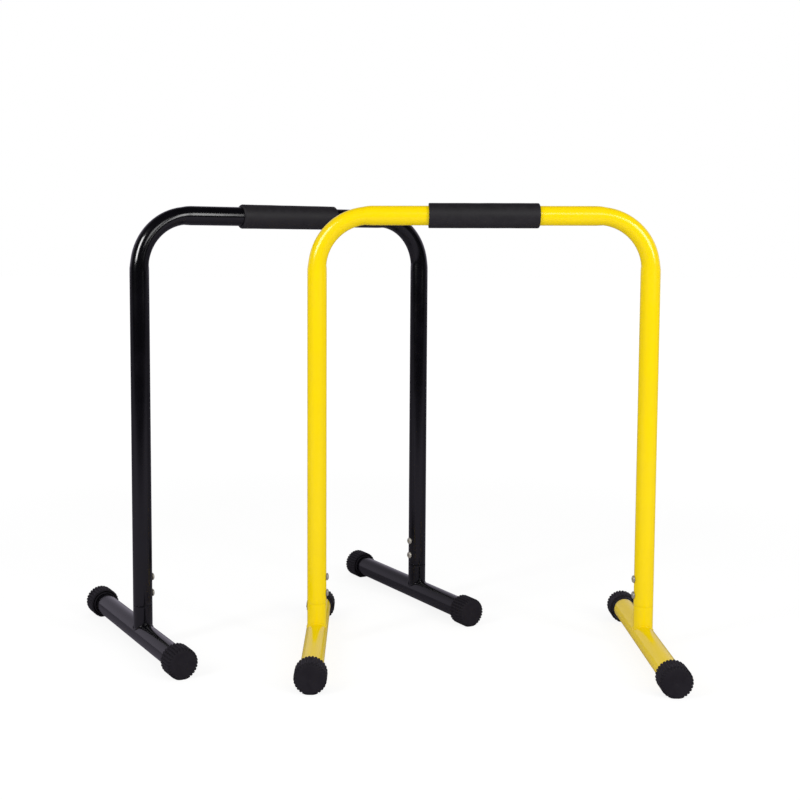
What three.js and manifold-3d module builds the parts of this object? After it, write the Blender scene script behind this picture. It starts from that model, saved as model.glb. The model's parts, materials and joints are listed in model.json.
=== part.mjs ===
// A pair of free-standing dip bars. Each bar is one tube bent into two legs and a hand
// bar, bolted on two T-shaped feet that rest on ribbed rubber caps.
// Millimetres, +Z up. A bar is built about the middle of its own stance, with the hand
// bar along X and the feet along Y, and both bars are then set down on the floor.

import * as THREE from 'three';
import { mergeVertices } from 'three/addons/utils/BufferGeometryUtils.js';
import Module from 'manifold-3d';

// Frame tube
const OVERALL_HEIGHT = 775;
const LEG_SPACING = 574;
const TUBE_DIAMETER = 33.7;
const TUBE_WALL = 2;
const BEND_RADIUS = 91.5;
const JOINT_HEIGHT = 78;

// Hand grip, a foam sleeve
const GRIP_LENGTH = 190;
const GRIP_DIAMETER = 43.5;
const GRIP_EDGE = 2.4;

// Feet: a tube across each leg, further out on one side of the leg than on the other
const FOOT_LENGTH = 430;
const FOOT_OFFSET = 26.5;
const FOOT_DIAMETER = 38.1;
const FOOT_WALL = 2;
const WELD_RADIUS = 2.4;

// Rubber end caps: a collar round the foot tube, an open recess and a grooved skirt
const CAP_LENGTH = 35;
const CAP_END_THICKNESS = 6;
const CAP_WEB_THICKNESS = 7;
const CAP_CHAMFER = 3;
const CAP_REST_WIDTH = 17;
const CAP_COLLAR_WALL = 2;
const CAP_COLLAR_REACH = 2;
const CAP_RECESS_WIDTH = 1.75;
const CAP_SKIRT_WALL = 2.1;
const CAP_GROOVE_DEPTH = 1.5;
const CAP_GROOVE_WIDTH = 2.2;
const CAP_RIB_COUNT = 26;

// Spigots that join legs and feet, and the bolts and nuts that hold them
const SPIGOT_WALL = 2.5;
const SPIGOT_FOOT_GAP = 2.6;
const SPIGOT_ABOVE_BOLTS = 18.5;
const BOLT_FIRST_RISE = 18;
const BOLT_PITCH = 28.5;
const BOLT_DIAMETER = 8;
const BOLT_TIP_CHAMFER = 0.6;
const BOLT_HEAD_DIAMETER = 13;
const BOLT_HEAD_HEIGHT = 4.2;
const BOLT_HEAD_RIM = 1;
const BOLT_SOCKET_WIDTH = 5;
const BOLT_SOCKET_DEPTH = 2.4;
const NUT_WIDTH = 13;
const NUT_THICKNESS = 6.5;
const BOLT_END_PAST_NUT = 1;

// Gap between a piece and what carries it, how far a cut runs past its work, and how
// close two points of a mesh are when they count as one
const CLEARANCE = 0.3;
const OVERRUN = 5;
const SAME_POINT = 1e-4;

// How the second bar stands: its middle is this far past the first bar's left leg and
// behind it, and it faces the other way, turned by this angle
const SECOND_BAR_SIDESTEP = 59;
const SECOND_BAR_SETBACK = 130;
const SECOND_BAR_TURN = THREE.MathUtils.degToRad(180 + 30.9);

// Facets
const TUBE_SIDES = 20;
const BORE_SIDES = 16;
const BEND_STEPS = 10;
const WELD_SIDES = 6;
const BOLT_SIDES = 12;
const HEX_SIDES = 6;

// Sizes that follow from the ones above
const TUBE_RADIUS = TUBE_DIAMETER / 2;
const TUBE_BORE_RADIUS = TUBE_RADIUS - TUBE_WALL;
const BAR_HEIGHT = OVERALL_HEIGHT - TUBE_RADIUS;
const FOOT_RADIUS = FOOT_DIAMETER / 2;
const CAP_BORE_RADIUS = FOOT_RADIUS + CLEARANCE;
const CAP_COLLAR_RADIUS = CAP_BORE_RADIUS + CAP_COLLAR_WALL;
const CAP_SKIRT_RADIUS = CAP_COLLAR_RADIUS + CAP_RECESS_WIDTH;
const CAP_GROOVE_RADIUS = CAP_SKIRT_RADIUS + CAP_SKIRT_WALL;
const CAP_RADIUS = CAP_GROOVE_RADIUS + CAP_GROOVE_DEPTH;
const FOOT_AXIS_HEIGHT = Math.sqrt(CAP_RADIUS ** 2 - (CAP_REST_WIDTH / 2) ** 2);
const FOOT_TUBE_LENGTH = FOOT_LENGTH - 2 * (CAP_END_THICKNESS + CLEARANCE);
const LOWER_BOLT_HEIGHT = JOINT_HEIGHT + BOLT_FIRST_RISE;
const UPPER_BOLT_HEIGHT = LOWER_BOLT_HEIGHT + BOLT_PITCH;
const BOLT_HEIGHTS = [LOWER_BOLT_HEIGHT, UPPER_BOLT_HEIGHT];
const BOLT_RADIUS = BOLT_DIAMETER / 2;
const SPIGOT_RADIUS = TUBE_BORE_RADIUS - CLEARANCE;
const SPIGOT_BORE_RADIUS = SPIGOT_RADIUS - SPIGOT_WALL;
const SPIGOT_BOTTOM = FOOT_AXIS_HEIGHT + FOOT_RADIUS + SPIGOT_FOOT_GAP;
const SPIGOT_TOP = UPPER_BOLT_HEIGHT + SPIGOT_ABOVE_BOLTS;

// Places of the bolt's pieces, from a leg's axis towards its inner side
const BOLT_SEAT = TUBE_RADIUS + CLEARANCE;
const NUT_FACE = Math.sqrt(SPIGOT_BORE_RADIUS ** 2 - (NUT_WIDTH / 2) ** 2) - CLEARANCE;
const NUT_BACK = NUT_FACE - NUT_THICKNESS;
const BOLT_LENGTH = BOLT_SEAT - NUT_BACK + BOLT_END_PAST_NUT;

const wasm = await Module();
wasm.setup();

// Turns a closed geometry into a solid for cutting and joining.
function toSolid(geometry) {
  const bare = geometry.clone();
  bare.deleteAttribute('normal');
  bare.deleteAttribute('uv');
  const merged = mergeVertices(bare, SAME_POINT);
  const mesh = new wasm.Mesh({
    numProp: 3,
    vertProperties: merged.attributes.position.array,
    triVerts: new Uint32Array(merged.index.array),
  });
  return new wasm.Manifold(mesh);
}

// Turns a solid back into a geometry.
function toGeometry(solid) {
  const mesh = solid.getMesh();
  const geometry = new THREE.BufferGeometry();
  geometry.setAttribute('position', new THREE.BufferAttribute(mesh.vertProperties, 3));
  geometry.setIndex(new THREE.BufferAttribute(mesh.triVerts, 1));
  geometry.computeVertexNormals();
  return geometry;
}

// Cuts tools out of a body.
function cut(body, ...tools) {
  return toGeometry(tools.reduce((solid, tool) => solid.subtract(toSolid(tool)), toSolid(body)));
}

// The corner radius of a polygon whose flats lie at the given distance from its centre.
function aroundRadius(radius, sides) {
  return radius / Math.cos(Math.PI / sides);
}

// A regular polygon as a path, with a corner on its first axis.
function polygon(PathType, radius, sides) {
  const corners = Array.from({ length: sides }, (_, i) => {
    const angle = (2 * Math.PI * i) / sides;
    return new THREE.Vector2(radius * Math.cos(angle), radius * Math.sin(angle));
  });
  return new PathType(corners);
}

// The section of a round tube. Its bore's flats keep the full bore radius clear.
function tubeSection(radius, boreRadius) {
  const section = polygon(THREE.Shape, radius, TUBE_SIDES);
  section.holes.push(polygon(THREE.Path, aroundRadius(boreRadius, BORE_SIDES), BORE_SIDES));
  return section;
}

// A revolved body about Y, from [radius, y] pairs.
function turned(profile, sides) {
  return new THREE.LatheGeometry(profile.map(([radius, y]) => new THREE.Vector2(radius, y)), sides);
}

// A quarter bend in the XZ plane.
class BendCurve extends THREE.Curve {
  constructor(centreX, centreZ, radius, startAngle, endAngle) {
    super();
    Object.assign(this, { centreX, centreZ, radius, startAngle, endAngle });
  }

  getPoint(t, target = new THREE.Vector3()) {
    const angle = THREE.MathUtils.lerp(this.startAngle, this.endAngle, t);
    return target.set(
      this.centreX + this.radius * Math.cos(angle),
      0,
      this.centreZ + this.radius * Math.sin(angle),
    );
  }
}

// A tube's route made of spans, each with its own number of steps, so that straights take
// one step and bends take many.
class SpannedCurve extends THREE.Curve {
  constructor(spans) {
    super();
    this.spans = spans;
    this.steps = spans.reduce((total, span) => total + span.steps, 0);
  }

  getUtoTmapping(u) {
    return u;
  }

  locate(t) {
    let step = t * this.steps;
    for (const span of this.spans) {
      if (step <= span.steps) return [span.curve, step / span.steps];
      step -= span.steps;
    }
    return [this.spans.at(-1).curve, 1];
  }

  getPoint(t, target = new THREE.Vector3()) {
    const [curve, share] = this.locate(t);
    return curve.getPoint(share, target);
  }

  getTangent(t, target = new THREE.Vector3()) {
    const [curve, share] = this.locate(t);
    return curve.getTangent(share, target);
  }
}

// The route of the frame tube: up one leg, along the hand bar and down the other leg.
function hoopRoute() {
  const legX = LEG_SPACING / 2;
  const bendX = legX - BEND_RADIUS;
  const bendZ = BAR_HEIGHT - BEND_RADIUS;
  const at = (x, z) => new THREE.Vector3(x, 0, z);
  const straight = (start, end) => ({ curve: new THREE.LineCurve3(start, end), steps: 1 });
  const bend = (x, from, to) => ({
    curve: new BendCurve(x, bendZ, BEND_RADIUS, from, to),
    steps: BEND_STEPS,
  });
  return new SpannedCurve([
    straight(at(-legX, JOINT_HEIGHT), at(-legX, bendZ)),
    bend(-bendX, Math.PI, Math.PI / 2),
    straight(at(-bendX, BAR_HEIGHT), at(bendX, BAR_HEIGHT)),
    bend(bendX, Math.PI / 2, 0),
    straight(at(legX, bendZ), at(legX, JOINT_HEIGHT)),
  ]);
}

// A drill along X for one bolt, through the wall on the +X side of the axis at x = 0.
function boltDrill(height, reach) {
  const radius = aroundRadius(BOLT_RADIUS + CLEARANCE, BOLT_SIDES);
  const drill = new THREE.CylinderGeometry(radius, radius, reach, BOLT_SIDES);
  drill.rotateZ(Math.PI / 2);
  drill.translate(reach / 2, 0, height);
  return drill;
}

// The bent tube, with two bolt holes on the inner side of each leg.
function frameTube() {
  const route = hoopRoute();
  const tube = new THREE.ExtrudeGeometry(tubeSection(TUBE_RADIUS, TUBE_BORE_RADIUS), {
    extrudePath: route,
    steps: route.steps,
  });
  const drills = [-1, 1].flatMap((side) => BOLT_HEIGHTS.map((height) => {
    const drill = boltDrill(height, TUBE_RADIUS + OVERRUN);
    if (side > 0) drill.rotateZ(Math.PI);
    drill.translate(side * LEG_SPACING / 2, 0, 0);
    return drill;
  }));
  return cut(tube, ...drills);
}

// The foam sleeve, with softened ends, along X about the hand bar.
function handGrip() {
  const bore = aroundRadius(TUBE_RADIUS + CLEARANCE, TUBE_SIDES);
  const radius = GRIP_DIAMETER / 2;
  const end = GRIP_LENGTH / 2;
  const grip = turned([
    [bore, -end],
    [radius - GRIP_EDGE, -end],
    [radius, -end + GRIP_EDGE],
    [radius, end - GRIP_EDGE],
    [radius - GRIP_EDGE, end],
    [bore, end],
    [bore, -end],
  ], TUBE_SIDES);
  grip.rotateZ(-Math.PI / 2);
  return grip;
}

// The foot tube, along Y about its own middle.
function footTube() {
  const tube = new THREE.ExtrudeGeometry(
    tubeSection(FOOT_RADIUS, FOOT_RADIUS - FOOT_WALL),
    { depth: FOOT_TUBE_LENGTH, bevelEnabled: false },
  );
  tube.translate(0, 0, -FOOT_TUBE_LENGTH / 2);
  tube.rotateX(Math.PI / 2);
  return tube;
}

// The weld bead: a ring that rises and falls with the saddle line where the upright
// stub meets the round foot tube.
function weldBead() {
  const bead = new THREE.TorusGeometry(TUBE_RADIUS, WELD_RADIUS, WELD_SIDES, TUBE_SIDES);
  const position = bead.attributes.position;
  for (let i = 0; i < position.count; i += 1) {
    const angle = Math.atan2(position.getY(i), position.getX(i));
    const across = TUBE_RADIUS * Math.cos(angle);
    const saddle = Math.sqrt(Math.max(0, FOOT_RADIUS ** 2 - across ** 2));
    position.setZ(i, position.getZ(i) + FOOT_AXIS_HEIGHT + saddle);
  }
  return bead;
}

// The upright stub, saddle-cut to the foot tube, with its weld bead.
function footStub() {
  const top = JOINT_HEIGHT - CLEARANCE;
  const post = new THREE.ExtrudeGeometry(polygon(THREE.Shape, TUBE_RADIUS, TUBE_SIDES), {
    depth: top - FOOT_AXIS_HEIGHT,
    bevelEnabled: false,
  });
  post.translate(0, 0, FOOT_AXIS_HEIGHT);
  const bore = new THREE.ExtrudeGeometry(
    polygon(THREE.Shape, aroundRadius(TUBE_BORE_RADIUS, BORE_SIDES), BORE_SIDES),
    { depth: top - FOOT_AXIS_HEIGHT + 2 * OVERRUN, bevelEnabled: false },
  );
  bore.translate(0, 0, FOOT_AXIS_HEIGHT - OVERRUN);
  const saddleRadius = aroundRadius(FOOT_RADIUS + CLEARANCE, TUBE_SIDES);
  const saddle = new THREE.CylinderGeometry(
    saddleRadius,
    saddleRadius,
    TUBE_DIAMETER + 2 * (WELD_RADIUS + OVERRUN),
    TUBE_SIDES,
  );
  saddle.translate(0, 0, FOOT_AXIS_HEIGHT);
  const joined = toSolid(post).add(toSolid(weldBead()));
  return toGeometry(joined.subtract(toSolid(bore)).subtract(toSolid(saddle)));
}

// The spigot inside stub and leg, with its bolt holes on the +X side.
function spigot() {
  const sleeve = new THREE.ExtrudeGeometry(tubeSection(SPIGOT_RADIUS, SPIGOT_BORE_RADIUS), {
    depth: SPIGOT_TOP - SPIGOT_BOTTOM,
    bevelEnabled: false,
  });
  sleeve.translate(0, 0, SPIGOT_BOTTOM);
  return cut(sleeve, ...BOLT_HEIGHTS.map((height) => boltDrill(height, TUBE_RADIUS)));
}

// The grooved outline of an end cap, flat where it rests. Up is +Y.
function capOutline() {
  const flatHalfAngle = Math.asin(CAP_REST_WIDTH / 2 / CAP_RADIUS);
  const start = -Math.PI / 2 + flatHalfAngle;
  const pitch = (2 * Math.PI - 2 * flatHalfAngle) / CAP_RIB_COUNT;
  const halfGroove = CAP_GROOVE_WIDTH / CAP_RADIUS / 2;
  const at = (radius, angle) => {
    return new THREE.Vector2(radius * Math.cos(angle), radius * Math.sin(angle));
  };
  const outline = [at(CAP_RADIUS, start)];
  for (let groove = 1; groove < CAP_RIB_COUNT; groove += 1) {
    const angle = start + groove * pitch;
    outline.push(
      at(CAP_RADIUS, angle - halfGroove),
      at(CAP_GROOVE_RADIUS, angle),
      at(CAP_RADIUS, angle + halfGroove),
    );
  }
  outline.push(at(CAP_RADIUS, Math.PI - start));
  return new THREE.Shape(outline);
}

// Draws the face of a cap in to its chamfer: the first ring of points moves towards the
// axis and the middle ring moves to the chamfer's depth.
function chamferFace(position, length) {
  const inward = (CAP_RADIUS - CAP_CHAMFER) / CAP_RADIUS;
  for (let i = 0; i < position.count; i += 1) {
    const share = position.getZ(i) / length;
    if (share < 1 / 4) {
      position.setXYZ(i, position.getX(i) * inward, position.getY(i) * inward, 0);
    } else if (share < 3 / 4) {
      position.setZ(i, CAP_CHAMFER);
    }
  }
}

// The bore that takes the foot tube.
function capBore(past) {
  const radius = aroundRadius(CAP_BORE_RADIUS, TUBE_SIDES);
  return turned([
    [0, past],
    [radius, past],
    [radius, -CAP_END_THICKNESS],
    [0, -CAP_END_THICKNESS],
  ], TUBE_SIDES);
}

// The recess between collar and skirt, with what lies outside the collar past the mouth.
function capRecess(past) {
  const floor = -CAP_END_THICKNESS - CAP_WEB_THICKNESS;
  const outside = CAP_RADIUS + OVERRUN;
  return turned([
    [CAP_COLLAR_RADIUS, past],
    [outside, past],
    [outside, -CAP_LENGTH],
    [CAP_SKIRT_RADIUS, -CAP_LENGTH],
    [CAP_SKIRT_RADIUS, floor],
    [CAP_COLLAR_RADIUS, floor],
    [CAP_COLLAR_RADIUS, past],
  ], BORE_SIDES);
}

// An end cap, with its closed face at y = 0 and its mouth towards -Y.
function endCap() {
  const length = CAP_LENGTH + CAP_COLLAR_REACH;
  const body = new THREE.ExtrudeGeometry(capOutline(), {
    depth: length,
    steps: 2,
    bevelEnabled: false,
  });
  chamferFace(body.attributes.position, length);
  body.rotateX(Math.PI / 2);
  return cut(body, capBore(-length - OVERRUN), capRecess(-length - OVERRUN));
}

// A domed bolt along X: the head's seat at x = 0, its shank towards +X.
function legBolt() {
  const head = BOLT_HEAD_DIAMETER / 2;
  const dome = (angle) => [
    head * Math.cos(angle),
    -BOLT_HEAD_RIM - (BOLT_HEAD_HEIGHT - BOLT_HEAD_RIM) * Math.sin(angle),
  ];
  const bolt = turned([
    [0, -BOLT_HEAD_HEIGHT],
    dome(Math.PI / 3),
    dome(Math.PI / 6),
    dome(0),
    [head, 0],
    [BOLT_RADIUS, 0],
    [BOLT_RADIUS, BOLT_LENGTH - BOLT_TIP_CHAMFER],
    [BOLT_RADIUS - BOLT_TIP_CHAMFER, BOLT_LENGTH],
    [0, BOLT_LENGTH],
  ], BOLT_SIDES);
  const socketRadius = aroundRadius(BOLT_SOCKET_WIDTH / 2, HEX_SIDES);
  const socket = new THREE.CylinderGeometry(
    socketRadius,
    socketRadius,
    BOLT_SOCKET_DEPTH + OVERRUN,
    HEX_SIDES,
  );
  socket.translate(0, -BOLT_HEAD_HEIGHT + (BOLT_SOCKET_DEPTH - OVERRUN) / 2, 0);
  const geometry = cut(bolt, socket);
  geometry.rotateZ(-Math.PI / 2);
  return geometry;
}

// A hexagon nut along X, from x = 0 towards +X, with a corner on top so that its width
// across flats lies across the spigot.
function boltNut() {
  const hexagon = polygon(THREE.Shape, aroundRadius(NUT_WIDTH / 2, HEX_SIDES), HEX_SIDES);
  hexagon.holes.push(polygon(
    THREE.Path,
    aroundRadius(BOLT_RADIUS + CLEARANCE, BOLT_SIDES),
    BOLT_SIDES,
  ));
  const nut = new THREE.ExtrudeGeometry(hexagon, { depth: NUT_THICKNESS, bevelEnabled: false });
  nut.rotateY(Math.PI / 2);
  return nut;
}

// Finishes
const finishes = {
  yellow: () => new THREE.MeshStandardMaterial({ color: 0xf5d90f, roughness: 0.3, metalness: 0.1 }),
  black: () => new THREE.MeshStandardMaterial({ color: 0x17151a, roughness: 0.25, metalness: 0.1 }),
  foam: () => new THREE.MeshStandardMaterial({ color: 0x2a272c, roughness: 0.95, metalness: 0 }),
  rubber: () => new THREE.MeshStandardMaterial({ color: 0x232126, roughness: 0.7, metalness: 0 }),
  zinc: () => new THREE.MeshStandardMaterial({ color: 0x8b8d90, roughness: 0.35, metalness: 1 }),
  steel: () => new THREE.MeshStandardMaterial({ color: 0x74777a, roughness: 0.5, metalness: 1 }),
};

// One bar. Side names are those of its legs at -X and +X.
function buildBar(name, finish, sideNames) {
  const bar = new THREE.Group();
  const place = (node, geometry, material, x = 0, y = 0, z = 0) => {
    const mesh = new THREE.Mesh(geometry, finishes[material]());
    mesh.name = `${name}_${node}`;
    mesh.position.set(x, y, z);
    return mesh;
  };
  bar.add(place('frame_tube', frameTube(), finish));
  bar.add(place('hand_grip', handGrip(), 'foam', 0, 0, BAR_HEIGHT));
  sideNames.forEach((sideName, index) => {
    const leg = new THREE.Group();
    leg.position.x = (index - 1 / 2) * LEG_SPACING;
    leg.rotation.z = index * Math.PI;
    addFoot(leg, sideName, finish, place, 1 - 2 * index);
    addFasteners(leg, sideName, place);
    bar.add(leg);
  });
  return bar;
}

// The pieces of one foot. The leg's group is turned so that its inner side is +X, and
// inward tells which way along Y the shorter end of the foot then points.
function addFoot(leg, sideName, finish, place, inward) {
  const middle = -inward * FOOT_OFFSET;
  leg.add(place(`${sideName}_foot_tube`, footTube(), finish, 0, middle, FOOT_AXIS_HEIGHT));
  leg.add(place(`${sideName}_foot_stub`, footStub(), finish));
  leg.add(place(`${sideName}_spigot`, spigot(), 'steel'));
  for (const end of [-1, 1]) {
    const capName = `${sideName}_${end === inward ? 'inner' : 'outer'}_end_cap`;
    const y = middle + end * FOOT_LENGTH / 2;
    const cap = place(capName, endCap(), 'rubber', 0, y, FOOT_AXIS_HEIGHT);
    if (end < 0) cap.rotation.z = Math.PI;
    leg.add(cap);
  }
}

// The two bolts of one leg and their nuts.
function addFasteners(leg, sideName, place) {
  ['lower', 'upper'].forEach((level, index) => {
    const height = BOLT_HEIGHTS[index];
    const bolt = place(`${sideName}_${level}_bolt`, legBolt(), 'zinc', BOLT_SEAT, 0, height);
    bolt.rotation.z = Math.PI;
    leg.add(bolt);
    leg.add(place(`${sideName}_${level}_nut`, boltNut(), 'zinc', NUT_BACK, 0, height));
  });
}

// Both bars as they stand, with the origin on the floor under the middle of the pair.
function buildStation() {
  const pair = new THREE.Group();
  const yellow = buildBar('yellow', 'yellow', ['left', 'right']);
  const black = buildBar('black', 'black', ['right', 'left']);
  black.position.set(-LEG_SPACING / 2 - SECOND_BAR_SIDESTEP, SECOND_BAR_SETBACK, 0);
  black.rotation.z = SECOND_BAR_TURN;
  pair.add(yellow, black);
  const middle = new THREE.Box3().setFromObject(pair, true).getCenter(new THREE.Vector3());
  pair.position.set(-middle.x, -middle.y, 0);
  const station = new THREE.Group();
  station.name = 'dip_station';
  station.add(pair);
  return station;
}

export default buildStation();
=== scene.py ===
"""Looks of a pair of free-standing dip bars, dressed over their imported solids.

Metres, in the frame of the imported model: +X along the yellow bar, +Z up and +Y away from
the camera. Each bar is modelled about the middle of its own stance, with its hand bar
along X and its feet along Y, and is then set down where its solids stand.
"""

import json
import logging
import math
from dataclasses import dataclass
from enum import Enum
from functools import cache
from typing import Any, Callable, Iterable, Sequence

import bmesh
import bpy
import numpy as np
from mathutils import Matrix, Vector, noise

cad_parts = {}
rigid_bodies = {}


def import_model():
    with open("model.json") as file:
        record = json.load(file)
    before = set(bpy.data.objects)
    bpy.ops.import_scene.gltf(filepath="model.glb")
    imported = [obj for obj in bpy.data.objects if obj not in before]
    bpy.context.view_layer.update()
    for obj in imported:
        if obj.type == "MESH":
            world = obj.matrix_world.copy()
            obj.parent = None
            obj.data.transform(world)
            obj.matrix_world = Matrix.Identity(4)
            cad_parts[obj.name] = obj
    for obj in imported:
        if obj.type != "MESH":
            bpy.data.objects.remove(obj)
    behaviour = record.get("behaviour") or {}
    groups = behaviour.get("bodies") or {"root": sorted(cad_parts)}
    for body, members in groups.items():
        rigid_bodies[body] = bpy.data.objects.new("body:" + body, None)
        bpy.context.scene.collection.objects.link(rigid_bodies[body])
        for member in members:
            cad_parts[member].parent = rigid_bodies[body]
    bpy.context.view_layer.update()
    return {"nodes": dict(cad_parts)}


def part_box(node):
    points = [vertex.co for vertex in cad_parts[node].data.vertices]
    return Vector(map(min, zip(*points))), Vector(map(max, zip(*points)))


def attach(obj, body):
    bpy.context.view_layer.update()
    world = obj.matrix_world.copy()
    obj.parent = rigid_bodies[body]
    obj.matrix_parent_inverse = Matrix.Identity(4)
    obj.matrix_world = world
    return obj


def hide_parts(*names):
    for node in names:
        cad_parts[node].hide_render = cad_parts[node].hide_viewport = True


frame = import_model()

log = logging.getLogger("dip_station")

MM = 0.001
BODY = "root"
FULL_TURN = 2 * math.pi
SMOOTH_ANGLE = math.radians(34)
SAME_POINT = 1e-6
CLEARANCE = 0.3 * MM
ALONG_X = Vector((1, 0, 0))
WHITE = (1, 1, 1, 1)
LEFT_AIM = (-0.38, -0.1, 0.72)
RIGHT_AIM = (0.3, -0.1, 0.75)

Colour = tuple[float, float, float, float]
Place = tuple[float, float, float]
Span = tuple[float, float]
Profile = list[tuple[float, float]]


class Paint(Enum):
    """Colours of the two bars."""

    YELLOW = "yellow"
    BLACK = "black"


class Leg(Enum):
    """The legs of a bar, by the side of the bar's own X axis they stand on."""

    MINUS_X = -1
    PLUS_X = 1


class CapEnd(Enum):
    """The long end and the short end of a foot, by their side of the leg along Y."""

    OUTER = -1
    INNER = 1


class TreeKind(Enum):
    """Kinds of node tree that the looks are built from."""

    GEOMETRY = "GeometryNodeTree"
    SHADER = "ShaderNodeTree"


class Socket(Enum):
    """Kinds of socket that a node group has."""

    GEOMETRY = "NodeSocketGeometry"
    MATERIAL = "NodeSocketMaterial"
    VECTOR = "NodeSocketVector"
    COLOUR = "NodeSocketColor"
    COUNT = "NodeSocketInt"
    NUMBER = "NodeSocketFloat"

    @classmethod
    def holding(cls, value: Any) -> "Socket":
        """The kind that holds a value.

        Args:
            value: a colour, a count or a number.

        Returns:
            The kind.
        """
        if isinstance(value, tuple):
            return cls.COLOUR
        return cls.COUNT if isinstance(value, int) else cls.NUMBER


class TreeBuilder:
    """Adds nodes to one tree, sets their values and links them."""

    def __init__(self, tree: bpy.types.NodeTree) -> None:
        """Keeps the tree to be filled.

        Args:
            tree: the tree. Only a group has sockets to start from and to end at.
        """
        self.tree = tree
        self.start: Any = None
        self.end: Any = None

    @classmethod
    def group(
        cls, kind: TreeKind, name: str, inputs: dict[str, Any], outputs: dict[str, Socket]
    ) -> "TreeBuilder":
        """Starts a node group with its sockets.

        Args:
            kind: whether it makes shapes or patterns.
            name: name of the group.
            inputs: each input's default value, or its kind where it has none.
            outputs: each output's kind.

        Returns:
            A builder for the new group, with its input and output nodes in place.
        """
        tree = bpy.data.node_groups.new(name, kind.value)
        add_socket = tree.interface.new_socket
        for label, value in inputs.items():
            plain = not isinstance(value, Socket)
            held = Socket.holding(value) if plain else value
            socket = add_socket(label, in_out="INPUT", socket_type=held.value)
            if plain:
                socket.default_value = value
        for label, held in outputs.items():
            add_socket(label, in_out="OUTPUT", socket_type=held.value)
        builder = cls(tree)
        builder.start = tree.nodes.new("NodeGroupInput").outputs
        builder.end = tree.nodes.new("NodeGroupOutput").inputs
        return builder

    def feed(self, target: bpy.types.NodeSocket, value: Any) -> None:
        """Links a socket to an input, or sets the input's own value.

        Args:
            target: the input.
            value: a socket, or a plain value.
        """
        if isinstance(value, bpy.types.NodeSocket):
            self.tree.links.new(value, target)
        else:
            target.default_value = value

    def add(
        self, kind: str, inputs: dict[str | int, Any] | None = None, **settings: Any
    ) -> bpy.types.Node:
        """Adds a node.

        Args:
            kind: type name of the node.
            inputs: sockets or values for its inputs, by name or number.
            **settings: its other properties.

        Returns:
            The node.
        """
        node = self.tree.nodes.new(kind)
        for name, value in settings.items():
            setattr(node, name, value)
        for key, value in (inputs or {}).items():
            self.feed(node.inputs[key], value)
        return node

    def math(self, operation: str, *values: Any) -> bpy.types.NodeSocket:
        """The result of a Math node.

        Args:
            operation: name of the operation.
            *values: sockets or numbers.

        Returns:
            The result's socket.
        """
        node = self.add("ShaderNodeMath", dict(enumerate(values)), operation=operation)
        return node.outputs[0]

    def vector(self, operation: str, *values: Any) -> bpy.types.NodeSocket:
        """The result of a Vector Math node that gives a vector.

        Args:
            operation: name of the operation.
            *values: sockets or vectors.

        Returns:
            The result's socket.
        """
        node = self.add("ShaderNodeVectorMath", dict(enumerate(values)), operation=operation)
        return node.outputs["Vector"]

    def ramp(
        self, value: Any, start: Any, end: Any, low: Any = 0.0, high: Any = 1.0
    ) -> bpy.types.NodeSocket:
        """A smooth step from low to high as the value goes from start to end.

        Args:
            value: the socket that is read.
            start: where the step starts.
            end: where it ends.
            low: result before the step.
            high: result after it.

        Returns:
            The result's socket.
        """
        node = self.add(
            "ShaderNodeMapRange",
            {"Value": value, "From Min": start, "From Max": end, "To Min": low, "To Max": high},
            interpolation_type="SMOOTHSTEP",
        )
        return node.outputs["Result"]

    def blend(self, share: Any, first: Any, second: Any) -> bpy.types.NodeSocket:
        """A mix of two colours.

        Args:
            share: share of the second one.
            first: colour or socket.
            second: colour or socket.

        Returns:
            The mixed colour's socket.
        """
        node = self.add("ShaderNodeMix", data_type="RGBA")
        self.feed(node.inputs["Factor"], share)
        colours = [socket for socket in node.inputs if socket.type == "RGBA"]
        self.feed(colours[0], first)
        self.feed(colours[1], second)
        return next(socket for socket in node.outputs if socket.type == "RGBA")

    def chance(self, **inputs: Any) -> bpy.types.NodeSocket:
        """A random number from 0 to the input Max, or to 1."""
        node = self.add("FunctionNodeRandomValue", inputs, data_type="FLOAT")
        return next(s for s in node.outputs if s.type == "VALUE" and s.enabled)

    def axes(self, value: Any) -> bpy.types.NodeOutputs:
        """The X, Y and Z outputs of a vector."""
        return self.add("ShaderNodeSeparateXYZ", {"Vector": value}).outputs

    def point(self, x: Any, y: Any, z: Any) -> bpy.types.NodeSocket:
        """A vector from its three parts."""
        return self.add("ShaderNodeCombineXYZ", {"X": x, "Y": y, "Z": z}).outputs[0]

    def named(self, name: str, data_type: str) -> bpy.types.NodeSocket:
        """The value of a named attribute in a geometry tree."""
        node = self.add("GeometryNodeInputNamedAttribute", {"Name": name}, data_type=data_type)
        return node.outputs["Attribute"]

    def store(
        self, geometry: bpy.types.NodeSocket, name: str, data_type: str, value: Any
    ) -> bpy.types.NodeSocket:
        """Keeps a value on a geometry's points.

        Args:
            geometry: the geometry's socket.
            name: name of the attribute.
            data_type: its type.
            value: socket that gives it.

        Returns:
            The geometry that carries the attribute.
        """
        node = self.add(
            "GeometryNodeStoreNamedAttribute",
            {"Geometry": geometry, "Name": name, "Value": value},
            data_type=data_type,
            domain="POINT",
        )
        return node.outputs["Geometry"]

    def circle(self, **inputs: Any) -> bpy.types.NodeSocket:
        """A curve that is a circle about Z, from the inputs of its node."""
        return self.add("GeometryNodeCurvePrimitiveCircle", inputs).outputs[0]

    def sweep(self, curve: Any, section: Any) -> bpy.types.NodeSocket:
        """The skin that a section leaves along a curve."""
        inputs = {"Curve": curve, "Profile Curve": section}
        return self.add("GeometryNodeCurveToMesh", inputs).outputs[0]

    def move(self, geometry: Any, spot: Any) -> bpy.types.NodeSocket:
        """A geometry whose points are moved to where a vector says."""
        inputs = {"Geometry": geometry, "Position": spot}
        return self.add("GeometryNodeSetPosition", inputs).outputs[0]

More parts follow.
